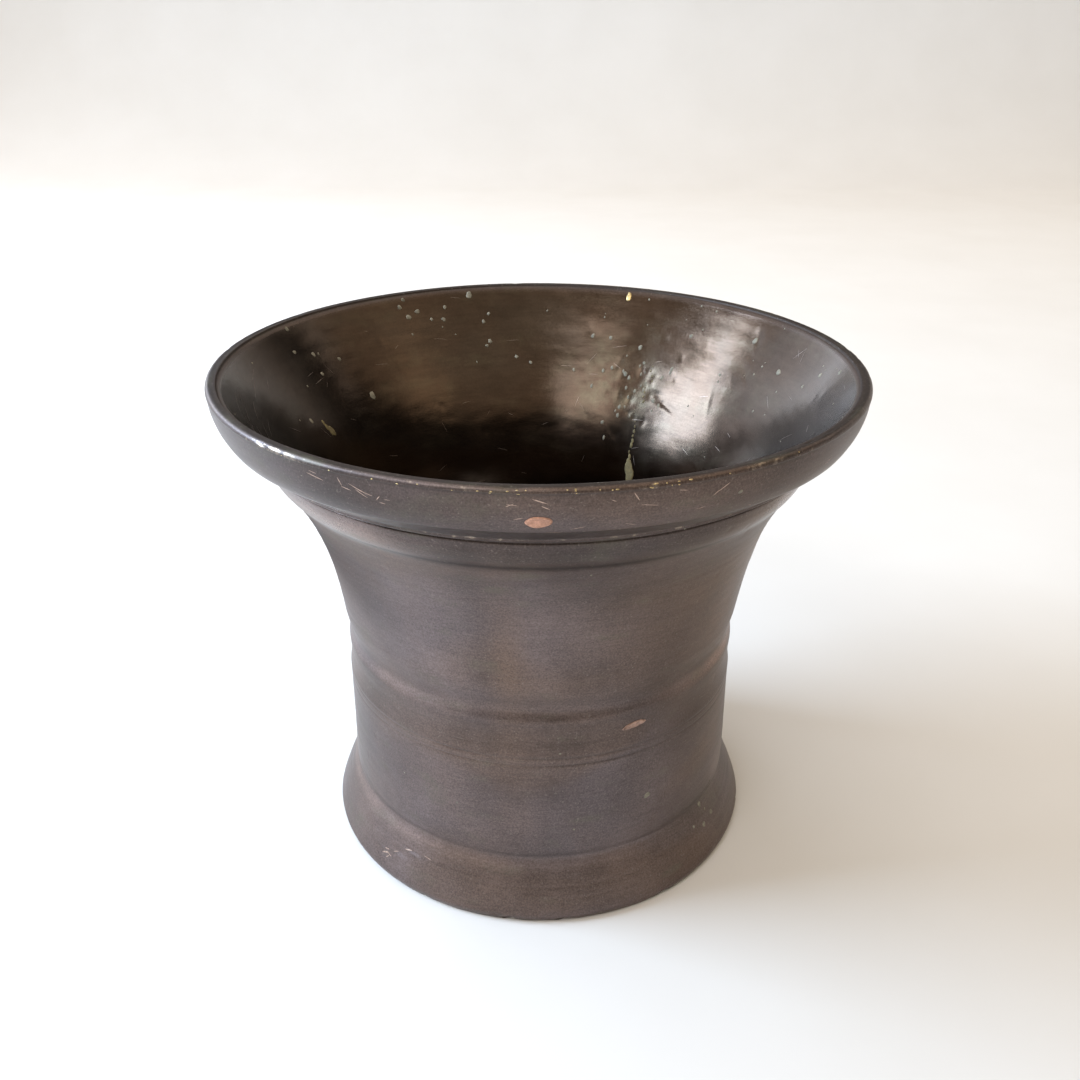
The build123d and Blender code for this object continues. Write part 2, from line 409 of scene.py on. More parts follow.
# -------------------- material helpers
class Nodes:
    """A material's node tree with short calls."""

    def __init__(self, name):
        self.material = bpy.data.materials.new(name)
        self.material.use_nodes = True
        self.tree = self.material.node_tree
        self.tree.nodes.clear()
        self.shader = self.add("ShaderNodeBsdfPrincipled")
        output = self.add("ShaderNodeOutputMaterial")
        self.tree.links.new(self.shader.outputs[0], output.inputs["Surface"])

    def add(self, kind, inputs=None, **settings):
        node = self.tree.nodes.new(kind)
        for key, value in settings.items():
            setattr(node, key, value)
        for key, value in (inputs or {}).items():
            self.put(node.inputs[key], value)
        return node

    def put(self, socket, value):
        if isinstance(value, bpy.types.NodeSocket):
            self.tree.links.new(value, socket)
        else:
            socket.default_value = value

    def feed(self, name, value):
        """Sets one input of the shader."""
        self.put(self.shader.inputs[name], value)

    def place(self, stretch=(1, 1, 1)):
        """Object coordinates, stretched."""
        where = self.add("ShaderNodeTexCoord").outputs["Object"]
        if stretch == (1, 1, 1):
            return where
        return self.add("ShaderNodeMapping", {"Vector": where, "Scale": stretch}).outputs[0]

    def noise(self, scale, detail=4.0, roughness=0.55, stretch=(1, 1, 1), distortion=0.0):
        return self.add("ShaderNodeTexNoise", {
            "Vector": self.place(stretch), "Scale": scale, "Detail": detail,
            "Roughness": roughness, "Distortion": distortion}).outputs["Fac"]

    def attribute(self, name):
        return self.add("ShaderNodeAttribute", attribute_name=name).outputs["Fac"]

    def math(self, operation, a, b=0.0, clamp=False):
        node = self.add("ShaderNodeMath", {0: a, 1: b}, operation=operation)
        node.use_clamp = clamp
        return node.outputs[0]

    def span(self, value, low, high, to_low=0.0, to_high=1.0):
        """Maps low..high to to_low..to_high, clamped."""
        return self.add("ShaderNodeMapRange", {
            "Value": value, "From Min": low, "From Max": high,
            "To Min": to_low, "To Max": to_high}).outputs[0]

    def mix(self, share, first, second, blend="MIX"):
        node = self.add("ShaderNodeMix", data_type="RGBA", blend_type=blend)
        self.put(node.inputs[0], share)
        self.put(node.inputs[6], first)
        self.put(node.inputs[7], second)
        return node.outputs[2]

    def shade(self, colour, value, low, high, dark, light):
        """Multiplies a colour by a grey that runs from dark to light as the value runs low..high."""
        strength = self.mix(self.span(value, low, high), grey(dark), grey(light))
        return self.mix(1.0, colour, strength, "MULTIPLY")

    def bump(self, height, distance, strength=1.0, under=None):
        inputs = {"Height": height, "Distance": distance, "Strength": strength}
        if under is not None:
            inputs["Normal"] = under
        return self.add("ShaderNodeBump", inputs).outputs[0]


def grey(value):
    return (value, value, value, 1.0)


def bronze_colour(n, inside, noises, worn_and_lit, dust):
    """Mottled brown outside and darker inside, with speckle, painted reflections, highlights and shade,
    dust, pale flecks painted as glints, and worn edges that also carry painted highlights.
    """
    mottle, blotch, turned, brushed, grain = noises
    outer = n.mix(n.span(mottle, 0.35, 0.65), (0.117, 0.087, 0.079, 1), (0.121, 0.097, 0.098, 1))
    outer = n.mix(n.attribute("warm"), outer, (0.134, 0.093, 0.074, 1))
    inner = n.mix(n.span(mottle, 0.38, 0.62), (0.057, 0.040, 0.030, 1), (0.057, 0.044, 0.035, 1))
    colour = n.mix(inside, outer, inner)
    colour = n.shade(colour, blotch, 0.3, 0.7, 0.84, 1.17)
    colour = n.shade(colour, turned, 0.3, 0.7, 0.95, 1.05)
    colour = n.shade(colour, brushed, 0.3, 0.7, 0.89, 1.11)
    speckled = n.shade(colour, grain, 0.34, 0.66, 0.73, 1.27)
    colour = n.mix(n.span(inside, 0, 1, 1.0, 0.45), colour, speckled)
    # The tone carries painted reflections, highlights and shade on the outside.
    colour = n.mix(1.0, colour, n.attribute("tone"), "MULTIPLY")
    # Painted shade: darkens the crease, the undersides of the mouldings and the bead and the belt's lines;
    # it also darkens the belt, the lip's flat top and the underside.
    colour = n.mix(n.attribute("painted_shade"), colour, (0.022, 0.017, 0.014, 1))
    colour = n.mix(dust, colour, (0.17, 0.17, 0.12, 1))
    # Painted glints: sparse pale flecks on the outside stand in for fine sparkles.
    painted_glint_flecks = n.span(n.noise(2200, 2, 0.5), 0.62, 0.72)
    painted_glint_flecks = n.math("MULTIPLY", painted_glint_flecks, n.span(inside, 0, 1, 0.30, 0.0))
    colour = n.mix(painted_glint_flecks, colour, (0.30, 0.26, 0.23, 1))
    # Worn metal on the lip and the proud edges, and painted highlights on the lip's sides and the ridge.
    return n.mix(worn_and_lit, colour, (0.33, 0.27, 0.215, 1))


def bronze_roughness(n, inside, blotch, grain, worn_and_lit, dust):
    """Satin outside, polished inside; duller on dust and the lip's top, smoother on mouldings, wear and the
    painted highlights.
    """
    rough = n.span(inside, 0, 1, 0.42, 0.195)
    for change in (n.span(blotch, 0.25, 0.75, -0.04, 0.05), n.span(grain, 0.3, 0.7, -0.02, 0.03),
                   n.math("MULTIPLY", dust, 0.25), n.math("MULTIPLY", n.attribute("dull"), 0.3),
                   n.math("MULTIPLY", n.attribute("polish"), -0.19)):
        rough = n.math("ADD", rough, change)
    return n.math("SUBTRACT", rough, n.math("MULTIPLY", worn_and_lit, 0.10), clamp=True)


def bronze_relief(n, inside, turned, brushed, grain):
    """Fine turning and brushing lines, a tooth of grain and a slight unevenness."""
    relief = n.bump(turned, 0.00006, n.span(inside, 0, 1, 0.3, 0.12))
    relief = n.bump(brushed, 0.00003, n.span(inside, 0, 1, 0.35, 0.08), relief)
    relief = n.bump(grain, 0.00002, 0.4, relief)
    return n.bump(n.noise(330, 4, 0.6), 0.00008, 0.4, relief)


def bronze_material():
    """Dark patina over bronze."""
    n = Nodes("patinated_bronze")
    inside = n.attribute("inside")
    mottle = n.noise(30, 4, 0.6, distortion=0.4)
    blotch = n.noise(95, 6, 0.62)
    turned = n.noise(34, 8, 0.72, stretch=(1, 1, 26))
    brushed = n.noise(210, 5, 0.7, stretch=(1, 1, 9))
    grain = n.noise(2900, 3, 0.65)
    dust = n.math("MULTIPLY", n.attribute("green"), n.span(n.noise(260, 5, 0.65), 0.40, 0.72))
    ragged = n.math("MULTIPLY", n.math("SUBTRACT", n.noise(420, 5, 0.7), 0.5), 2.2)
    worn_and_lit = n.span(n.math("ADD", n.attribute("wear_and_highlight"), ragged), 0.62, 0.95)
    noises = (mottle, blotch, turned, brushed, grain)
    n.feed("Base Color", bronze_colour(n, inside, noises, worn_and_lit, dust))
    n.feed("Roughness", bronze_roughness(n, inside, blotch, grain, worn_and_lit, dust))
    n.feed("Normal", bronze_relief(n, inside, turned, brushed, grain))
    n.feed("Specular Tint", n.mix(n.attribute("dull"), grey(1.0), grey(0.25)))
    n.feed("Metallic", n.span(inside, 0, 1, 0.8, 1.0))
    n.feed("Coat Weight", n.span(inside, 0, 1, 0.15, 0.0))
    n.feed("Coat Roughness", 0.38)
    return n.material


def copper_material(name, light, dark, rough):
    """Worn copper, pitted and darker in its hollows."""
    n = Nodes(name)
    patches = n.noise(700, 5, 0.65)
    fine = n.noise(2600, 3, 0.6)
    colour = n.mix(n.span(patches, 0.36, 0.62), dark, light)
    n.feed("Base Color", n.shade(colour, fine, 0.3, 0.7, 0.82, 1.15))
    n.feed("Roughness", n.span(patches, 0.3, 0.7, rough, rough + 0.2))
    n.feed("Normal", n.bump(patches, 0.0001, 0.6, n.bump(fine, 0.00004, 0.5)))
    n.feed("Metallic", 0.75)
    return n.material


def crust_material(name, light, dark):
    """Dry mineral crust: matt, chalky, broken in tone."""
    n = Nodes(name)
    patches = n.noise(850, 5, 0.7)
    n.feed("Base Color", n.mix(n.span(patches, 0.35, 0.65), dark, light))
    n.feed("Roughness", n.span(patches, 0.3, 0.7, 0.6, 0.85))
    n.feed("Normal", n.bump(patches, 0.0002, 0.8))
    return n.material


def scratch_material(name, colour):
    """Bare metal in a scratch, darker in patches."""
    n = Nodes(name)
    dark = tuple(channel * 0.55 for channel in colour[:3]) + (1,)
    shade = n.mix(n.span(n.noise(1500, 3, 0.6), 0.35, 0.65), dark, colour)
    n.feed("Base Color", shade)
    n.feed("Roughness", n.span(n.noise(900, 3), 0.3, 0.7, 0.28, 0.5))
    n.feed("Metallic", 0.9)
    return n.material


# -------------------- the body
# Marks painted on the outside in place of light, mostly painted reflections: the soft upright bands stand
# in for reflected cloth folds, the spots at the right edges and at the foot's left are painted highlights,
# and the dark spot at the upper left is painted shade. Azimuth, level, half width, half height, amount.
PAINTED_REFLECTION_SPOTS = (
    (-1, 72, 5, 12, 0.34), (-28, 66, 7, 16, 0.18), (-24, 28, 7, 12, 0.16), (-42, 10, 16, 12, 0.25),
    (0, 62, 30, 16, 0.18), (-58, 8, 12, 7, 0.4), (76, 72, 7, 12, 0.8), (-14, 66, 3, 20, -0.22),
    (34, 42, 12, 4, 0.24), (68, 17, 5, 4, 0.7), (-64, 78, 15, 15, -0.34),
)
WARM_SPOTS = ((-8, 60, 4, 20, 0.6), (58, 60, 9, 30, 0.7), (28, 66, 18, 18, 0.55), (38, 6, 24, 8, 0.3))
# Worn proud edges. The first, at the ridge, is partly wear and partly a painted highlight where the ridge's
# edge catches the light.
WORN_AND_LIT_EDGES = (  # level, width, amount
    (RIDGE_LEVEL - 0.1, 0.4, 0.72), (FASCIA_LOW_LEVEL, 0.7, 0.18), (COLLAR_LOW_LEVEL, 0.5, 0.2),
    (BELT_TOP, 0.5, 0.25), (FOOT_EDGE_LEVEL, 0.9, 0.3), (0.2, 0.6, 0.4), (BELT_LINES[0] + 0.6, 0.35, 0.18),
)


def body_faces(rings):
    """Quads between neighbouring rings, with a fan that closes each end."""
    ring = np.arange(rings - 1)[:, None] * TURNS
    here = np.arange(TURNS)[None, :]
    after = (here + 1) % TURNS
    quads = np.stack([ring + here, ring + after, ring + TURNS + after, ring + TURNS + here], axis=2)
    faces = quads.reshape(-1, 4).tolist()
    first, last = rings * TURNS, rings * TURNS + 1
    top = (rings - 1) * TURNS
    for i in range(TURNS):
        j = (i + 1) % TURNS
        faces.append((first, j, i))
        faces.append((last, top + i, top + j))
    return faces


class Zones:
    """Soft masks, 0 to 1, for the parts and sides of the body that the material treats apart."""

    def __init__(self, surface):
        a, z, r = surface.angle, surface.level, surface.radius
        self.inside = surface.is_inner * smooth(HEIGHT - 0.3, HEIGHT - 1.6, z) + a * 0
        self.outer = surface.is_outer
        self.patch = 0.5 + 0.5 * ripple(a, surface.along, 20, 8, 20, 21)
        self.left = smooth(math.radians(12), math.radians(42), -wrapped(a)) * smooth(-0.1, 0.3, np.cos(a))
        self.right = smooth(math.radians(28), math.radians(60), wrapped(a)) * smooth(-0.2, 0.3, np.cos(a))
        self.collar = band(z, COLLAR_LOW_LEVEL + 2.0, 2.8)
        self.cove = band(z, FASCIA_LOW_LEVEL - 1.9, 1.3)
        self.shoulder = band(z, BELT_TOP + 0.7, 1.1)
        bead = smooth(HEIGHT - 1.5, HEIGHT - 0.8, z) * smooth(RIM_RADIUS - 0.75, RIM_RADIUS - 0.3, r)
        self.bead = bead * (1 - self.inside)
        top = smooth(HEIGHT - 1.0, HEIGHT - 0.5, z) * smooth(HEIGHT - 1.2, HEIGHT - 0.3, z)
        self.flat_top = top * smooth(RIM_RADIUS - 0.35, RIM_RADIUS - 0.85, r) * (1 - self.inside)


def wear_and_highlight_mask(surface, zones):
    """Where handling wore the metal bare: the bead of the lip in streaks, and the proud edges; the brighter
    lip at the left and right and the ridge's edge are painted highlights.
    """
    a, z = surface.angle, surface.level
    streaky = np.clip(0.5 + 0.6 * round_ripple(a, 24, 14, 22), 0, 1)
    # Painted highlight: the bead is lighter at the left and at the right, where it catches the light.
    painted_highlight_side = smooth(0.2, 0.85, np.cos(a + 1.0)) + smooth(0.3, 0.9, np.cos(a - 1.15))
    worn_and_lit = zones.bead * (0.10 + 0.36 * streaky + 0.17 * painted_highlight_side)
    for level, width, amount in WORN_AND_LIT_EDGES:
        worn_and_lit = worn_and_lit + zones.outer * amount * band(z, level, width) * (0.5 + 0.5 * zones.patch)
    return worn_and_lit


def tone_and_painted_light_mask(surface, zones):
    """How much lighter or darker than 1 the outside is: painted reflections, highlights and shade, a random
    mottle, and darker mouldings.
    """
    a, s, z = surface.angle, surface.along, surface.level
    left, right = zones.left, zones.right
    # The spots are painted reflections, highlights and shade; the two ripples are a random mottle.
    tone = surface.spots(PAINTED_REFLECTION_SPOTS) + 0.10 * np.clip(ripple(a, s, 18, 6, 30, 23), -1, 1)
    tone = tone + 0.07 * np.clip(ripple(a, s, 26, 16, 40, 27), -1.5, 1.5)
    # Painted highlight along the top of the foot just under the crease, strongest at the left.
    tone = tone + 0.50 * band(z, CREASE_LEVEL - 1.6, 1.3) * smooth(-0.1, 0.9, np.cos(a + 0.8))
    # Painted reflections: the collar, the shoulder over the belt and the cove are lighter at the left and
    # right; painted shade darkens the collar's middle.
    tone = tone + zones.collar * (1.15 * left + 0.80 * right - 0.24 * (1 - left) * (1 - right))
    tone = tone + zones.shoulder * (0.4 * left + 1.0 * right)
    tone = tone + zones.cove * (0.9 * left + 0.6 * right)
    tone = tone - 0.16 * smooth(BODY_TOP_LEVEL - 1, BODY_TOP_LEVEL + 3, z)
    tone = tone - 0.26 * smooth(91, 93, z) * surface.spot((-36, 97), 24, 30)
    return 1 + zones.outer * tone


def warm_mask(surface, zones):
    """Browner patches."""
    a, s, z = surface.angle, surface.along, surface.level
    clouds = np.clip(ripple(a, s, 20, 7, 24, 24), 0, 1)
    # The warm band under the crease tints the painted highlight there.
    outside = surface.spots(WARM_SPOTS) + 0.5 * clouds + 0.12 * band(z, CREASE_LEVEL - 1.9, 1.6)
    inside = 0.6 * surface.spot((-150, 92), 16, 10) + 0.3 * zones.patch
    return zones.outer * outside + surface.is_inner * inside


def green_mask(surface, zones):
    """Dusty verdigris, thickest at the battered patch and by the foot at the right."""
    a, s = surface.angle, surface.along
    inside = 0.35 * surface.spot((161, 86), 6, 6) + 0.3 * surface.spot((149, 84), 4, 9)
    inside = inside + 0.10 * np.clip(ripple(a, s, 24, 14, 12, 25), 0, 1)
    outside = 0.3 * smooth(0.6, 1.4, ripple(a, s, 30, 20, 10, 26)) + 0.3 * surface.spot((60, 12), 9, 4)
    return surface.is_inner * inside + zones.outer * outside


def painted_shade_mask(surface, zones):
    """Painted shade in the crease, under the mouldings and the bead and in the belt's lines; darker over
    the belt, on the lip's flat top and on the underside.
    """
    z, patch = surface.level, zones.patch
    painted_shade = 0.20 * band(z, CREASE_LEVEL + 0.6, 1.0) * (0.3 + 0.7 * patch)
    painted_shade = painted_shade + 0.75 * band(z, BODY_TOP_LEVEL + 0.6, 0.5) + 0.55 * band(z, FASCIA_LOW_LEVEL - 0.1, 0.22)
    for level in BELT_LINES:
        painted_shade = painted_shade + 0.3 * band(z, level, 0.25) * patch
    painted_shade = painted_shade + 0.16 * smooth(37.5, 39, z) * smooth(47, 45.5, z) + 0.16 * surface.spot((4, 41), 16, 1.2)
    painted_shade = painted_shade + 0.5 * band(z, HEIGHT - FASCIA_TOP_DROP, 0.25) * (0.4 + 0.6 * patch)
    return zones.outer * painted_shade + 0.5 * surface.is_under + 0.75 * zones.flat_top


def body_masks(surface):
    """The numbers that the bronze reads, one for each point."""
    zones = Zones(surface)
    z, outer = surface.level, zones.outer
    mouldings = smooth(BODY_TOP_LEVEL - 1, BODY_TOP_LEVEL + 1, z) * smooth(99, 96, z)
    masks = {
        "inside": zones.inside,
        "wear_and_highlight": wear_and_highlight_mask(surface, zones),
        "tone": tone_and_painted_light_mask(surface, zones),
        "warm": warm_mask(surface, zones),
        "green": green_mask(surface, zones),
        "painted_shade": painted_shade_mask(surface, zones),
        "dull": 0.8 * zones.flat_top + outer * surface.spot((-66, 76), 20, 13),
        "polish": outer * mouldings * (0.3 + 0.7 * np.maximum(zones.left, zones.right)),
    }
    shape = (surface.rings, TURNS)
    return {name: np.clip(np.broadcast_to(value, shape), 0, 2 if name == "tone" else 1)
            for name, value in masks.items()}


def make_body(surface):
    """The casting."""
    middles = [(0, 0, RECESS_DEPTH), (0, 0, FLOOR_THICKNESS)]
    points = np.vstack([surface.grid.reshape(-1, 3), middles])
    body = make_mesh("bronze_body", points, body_faces(surface.rings))
    for name, values in body_masks(surface).items():
        paint(body, name, np.append(values.ravel(), [values[0, 0], values[-1, 0]]))
    body.data.materials.append(bronze_material())
    return body


# -------------------- small pieces that lie on the body
SKIRT = 0.3  # how deep the rim of a dome goes into the surface
MM_PER_DEGREE = 0.9  # along a scratch, round the outside
RIBBON_STEP = 0.35


class Heap:
    """Points and faces of many small meshes that lie on the body and end up in one object."""

    def __init__(self, surface):
        self.surface = surface
        self.points, self.faces = [], []

    def add(self, points, faces, inside):
        """Adds one small mesh, turned over when it lies inside the bowl."""
        base = len(self.points)
        self.points += [tuple(p) for p in points]
        for face in faces:
            corners = tuple(base + v for v in face)
            self.faces.append(corners[::-1] if inside else corners)

    def finish(self, name, material):
        thing = make_mesh(name, self.points, self.faces)
        thing.data.materials.append(material)
        return thing

    def lie_on(self, at, inside, across, up, lift):
        """Point across and up (mm) from a place on the surface, lifted along its normal."""
        azimuth, level = at
        radius = float(np.interp(level, [0, BELT_TOP, HEIGHT], [44, 40, 62]))
        slope = self.surface.normal[int(self.surface.ring_at(level, inside))]
        turned = azimuth + math.degrees(across / radius)
        raised = level + up * max(0.25, abs(slope[0]))
        position, normal = self.surface.point(turned, raised, inside)
        return position + normal * lift

    def dome(self, at, inside, wide, tall, high, seed, edge=0.25, dish=0.0, tilt=0.0, rings=4, spokes=16):
        """Low lump or dished cap with a ragged outline, whose skirt goes into the surface."""
        first, second, third = np.random.default_rng(seed).uniform(0, 2 * math.pi, 3)
        points = [self.lie_on(at, inside, 0, 0, high - dish)]
        c, s = math.cos(math.radians(tilt)), math.sin(math.radians(tilt))
        for ring in range(1, rings + 2):
            share = min(ring / rings, 1.0)
            lift = high * math.sqrt(max(0.0, 1 - share**3)) - dish * (1 - share**2)
            if ring > rings:
                lift = -SKIRT
            for k in range(spokes):
                turn = 2 * math.pi * k / spokes
                ragged = 1 + edge * (0.5 * math.sin(2 * turn + first) + 0.35 * math.sin(3 * turn + second)
                                     + 0.25 * math.sin(5 * turn + third))
                x, y = wide * share * ragged * math.cos(turn), tall * share * ragged * math.sin(turn)
                points.append(self.lie_on(at, inside, x * c - y * s, x * s + y * c, lift))
        faces = [(0, 1 + k, 1 + (k + 1) % spokes) for k in range(spokes)]
        for ring in range(rings):
            inner, outer = 1 + ring * spokes, 1 + (ring + 1) * spokes
            for k in range(spokes):
                after = (k + 1) % spokes
                faces.append((inner + k, outer + k, outer + after, inner + after))
        self.add(points, faces, inside)

    def ribbon(self, route, inside, width, lift=0.02):
        """Thin tapering strip along a route of (azimuth, level) places: one scratch."""
        route = np.array(route, float)
        spans = np.hypot(np.diff(route[:, 0]) * MM_PER_DEGREE, np.diff(route[:, 1]))
        marks = np.concatenate([[0], np.cumsum(spans)])
        count = max(3, int(marks[-1] / RIBBON_STEP))
        places = np.linspace(0, marks[-1], count + 1)
        azimuths, levels = np.interp(places, marks, route[:, 0]), np.interp(places, marks, route[:, 1])
        points = []
        for i in range(count + 1):
            before, after = max(0, i - 1), min(count, i + 1)
            run = (azimuths[after] - azimuths[before]) * MM_PER_DEGREE
            rise = levels[after] - levels[before]
            length = math.hypot(run, rise) or 1
            half = width / 2 * math.sin(math.pi * (0.08 + 0.84 * i / count))
            at = (azimuths[i], levels[i])
            points.append(self.lie_on(at, inside, -rise / length * half, run / length * half, lift))
            points.append(self.lie_on(at, inside, rise / length * half, -run / length * half, lift))
        self.add(points, [(2 * i, 2 * i + 1, 2 * i + 3, 2 * i + 2) for i in range(count)], inside)


def make_plugs(surface):
    """The two copper plugs, seen as an oval dished cap and a small oblong one."""
    rim_heap, belt_heap = Heap(surface), Heap(surface)
    rim_heap.dome(RIM_PLUG_AT, False, 2.05, 1.2, 0.5, 31, edge=0.09, dish=0.28, rings=8, spokes=48)
    belt_heap.dome(BELT_PLUG_AT, False, 2.3, 0.75, 0.38, 32, edge=0.2, dish=0.1, tilt=6, rings=6, spokes=40)
    rim_copper = copper_material("rim_copper", (0.68, 0.40, 0.30, 1), (0.42, 0.235, 0.165, 1), 0.45)
    belt_copper = copper_material("belt_copper", (0.52, 0.36, 0.30, 1), (0.24, 0.16, 0.13, 1), 0.5)
    return rim_heap.finish("copper_plug_rim", rim_copper), belt_heap.finish("copper_plug_belt", belt_copper)


CLEAR_SPECKS = (  # azimuth, level, half width
    (-146, 102.6, 0.45), (-147.4, 104, 0.4), (-147.4, 100.3, 0.55), (-150, 101.2, 0.5), (-153, 99.2, 0.35),
    (-157, 101.4, 0.4), (-156, 98.9, 0.45), (-163.4, 103.5, 0.7), (-166, 97.7, 0.4), (-167.5, 99.3, 0.35),
    (-167, 93.5, 0.45), (-166, 92.6, 0.35), (-173.8, 90, 0.4), (-177.7, 88.7, 0.35), (-128, 86.9, 0.75),
    (-114.6, 104, 0.45), (-112.4, 99.7, 0.4), (-117.4, 98, 0.45), (-124, 95.5, 0.4), (-116.4, 94.1, 0.4),
    (-101.4, 88.1, 0.5), (165.8, 94.8, 0.45), (161, 94.7, 0.4), (152.5, 93.4, 0.5), (161.4, 87.7, 0.4),
    (159, 88.5, 0.4), (154.8, 87.6, 0.5), (150.2, 90.4, 0.35), (154.3, 80.5, 0.45), (159, 76.7, 0.4),
    (140, 97.5, 0.4), (122.4, 99.9, 0.6), (109.8, 96.4, 0.6), (95.7, 100, 0.45), (89.6, 102.6, 0.45),
    (98.5, 96.7, 0.35), (126.9, 91.7, 0.35), (169.9, 87.4, 0.35),
)
OUTER_SPECKS = (
    (31, 24.4, 0.7), (54.4, 12.3, 0.6), (58.5, 8.8, 0.5), (53.4, 8.2, 0.55), (49, 9.5, 0.35),
    (56, 10.6, 0.3), (62, 14.8, 0.3), (29.5, 101, 0.4),
)
DRIPS = (  # azimuth, top level, length, half width
    (147.6, 71.2, 5.0, 1.0), (148.2, 78.0, 5.2, 0.42), (-105.4, 86.6, 2.2, 0.8), (148, 85.5, 3, 0.4),
    (147.6, 90, 3, 0.28),
)
DRIP_STEP = 0.9


def bowl_specks(heap, rng):
    """The clear specks in the bowl, a fine scatter, and a cluster at the battered patch."""
    for k, (azimuth, level, size) in enumerate(CLEAR_SPECKS):
        heap.dome((azimuth, level), True, size * 1.2, size * 1.25, 0.10, 100 + k, spokes=12, rings=3)
    for k in range(90):
        azimuth, level = rng.uniform(-180, 180), 104.5 - rng.exponential(14)
        size = rng.uniform(0.12, 0.3)
        heap.dome((azimuth, max(level, 30)), True, size, size * 1.2, 0.06, 200 + k, spokes=8, rings=2)
    for k in range(26):
        azimuth, level = rng.normal(151, 6), rng.normal(84, 5)
        size = rng.uniform(0.2, 0.42)
        heap.dome((azimuth, level), True, size, size * 1.6, 0.07, 300 + k, spokes=10, rings=2)


def outer_specks(heap, rng):
    """The clear specks outside, and a fine scatter."""
    for azimuth, level, size in OUTER_SPECKS:
        heap.dome((azimuth, level), False, size, size, 0.06, int(level * 10), spokes=12, rings=3)
    for k in range(60):
        azimuth, level = rng.uniform(-180, 180), rng.uniform(3, 103)
        size = rng.uniform(0.1, 0.24)
        heap.dome((azimuth, level), False, size, size, 0.04, 400 + k, spokes=8, rings=2)


def bowl_drips(heap, rng):
    """Drips down the bowl: rows of lumps that run into each other and widen downwards."""
    for azimuth, top, length, half in DRIPS:
        steps = int(length / DRIP_STEP)
        for k in range(steps + 1):
            share = k / steps
            width = half * (0.4 + 0.7 * share) * rng.uniform(0.6, 1.4)
            at = (azimuth + rng.normal(0, 0.25) - 0.9 * share, top - length * share)
            heap.dome(at, True, width, width * 1.5, 0.12, 500 + k, spokes=12, rings=3)


def make_crusts(surface):
    """Pale verdigris specks inside and outside, and yellower drips down the bowl."""
    specks, drips = Heap(surface), Heap(surface)
    rng = np.random.default_rng(41)
    bowl_specks(specks, rng)
    outer_specks(specks, rng)
    bowl_drips(drips, rng)
    pale = crust_material("pale_verdigris", (0.29, 0.27, 0.215, 1), (0.125, 0.118, 0.09, 1))
    yellow = crust_material("yellow_verdigris", (0.21, 0.172, 0.078, 1), (0.09, 0.074, 0.037, 1))
    return [specks.finish("verdigris_specks", pale), drips.finish("verdigris_drips", yellow)]


CLEAR_SCRATCHES = (  # route as azimuths and levels, width; on the fascia and the foot
    ([(-34.5, 103.0), (-31.5, 102.4)], 0.16), ([(-34.0, 103.5), (-32.6, 103.3)], 0.1),
    ([(-28.8, 103.6), (-28.2, 102.3)], 0.15), ([(-28.4, 102.2), (-26.8, 101.8)], 0.12),
    ([(-27.0, 103.0), (-24.6, 101.9), (-23.4, 101.6)], 0.15), ([(-22.8, 101.0), (-22.2, 101.8)], 0.14),
    ([(-26.0, 102.2), (-24.2, 101.0)], 0.14), ([(-0.8, 103.6), (1.2, 102.8)], 0.2),
    ([(0.4, 102.4), (1.5, 101.8)], 0.14), ([(-47.5, 4.4), (-45.2, 5.3), (-43.6, 5.0)], 0.38),
    ([(-46.5, 5.8), (-44.8, 6.1)], 0.26), ([(-45.6, 4.0), (-44.4, 4.9)], 0.2),
    ([(-43.0, 6.4), (-41.6, 6.9)], 0.22), ([(-39.5, 8.2), (-37.2, 8.6)], 0.28),
    ([(-33.0, 8.9), (-30.2, 8.6)], 0.18), ([(12.8, 104.0), (13.6, 102.6)], 0.2),
    ([(25.3, 102.0), (27.2, 103.3)], 0.16), ([(24.8, 101.5), (25.6, 102.4)], 0.14),
)
GLINTS = (  # azimuth, spread, count
    (-5, 2.2, 7), (4.5, 1.5, 4), (14, 3.5, 12), (-22, 8, 6), (160, 40, 10), (70, 30, 6),
)
DULL_LIFT = 0.012


def fresh_scratches(heap, rng):
    """The clear bright scratches, and short fine ones all round the fascia."""
    for route, width in CLEAR_SCRATCHES:
        heap.ribbon(route, False, width)
    for _ in range(46):
        azimuth, level = rng.uniform(-180, 180), rng.uniform(97, 103.8)
        reach, slope = rng.uniform(0.5, 2.4), rng.uniform(-1, 1)
        route = [(azimuth, level), (azimuth + reach, level + slope * reach * 0.5)]
        heap.ribbon(route, False, rng.uniform(0.06, 0.12))


def dull_scratches(heap, rng):
    """Long fine scratches outside, steeper ones in the bowl, and a bundle at the bowl's left."""
    for _ in range(120):
        azimuth, level = rng.uniform(-180, 180), rng.uniform(6, 84)
        reach = rng.uniform(0.8, 5)
        route = [(azimuth, level), (azimuth + reach, level + rng.normal(0, 0.3))]
        heap.ribbon(route, False, rng.uniform(0.05, 0.1), DULL_LIFT)
    for _ in range(110):
        azimuth, level = rng.uniform(-180, 180), rng.uniform(60, 104)
        reach, slope = rng.uniform(0.8, 4), rng.normal(0, 1.4)
        route = [(azimuth, level), (azimuth + reach, level + slope)]
        heap.ribbon(route, True, rng.uniform(0.06, 0.13), DULL_LIFT)
    for _ in range(16):
        azimuth, level = rng.normal(-80, 7), rng.uniform(94, 102)
        route = [(azimuth, level), (azimuth + rng.uniform(3, 8), level - rng.uniform(1, 2.4))]
        heap.ribbon(route, True, rng.uniform(0.08, 0.16))


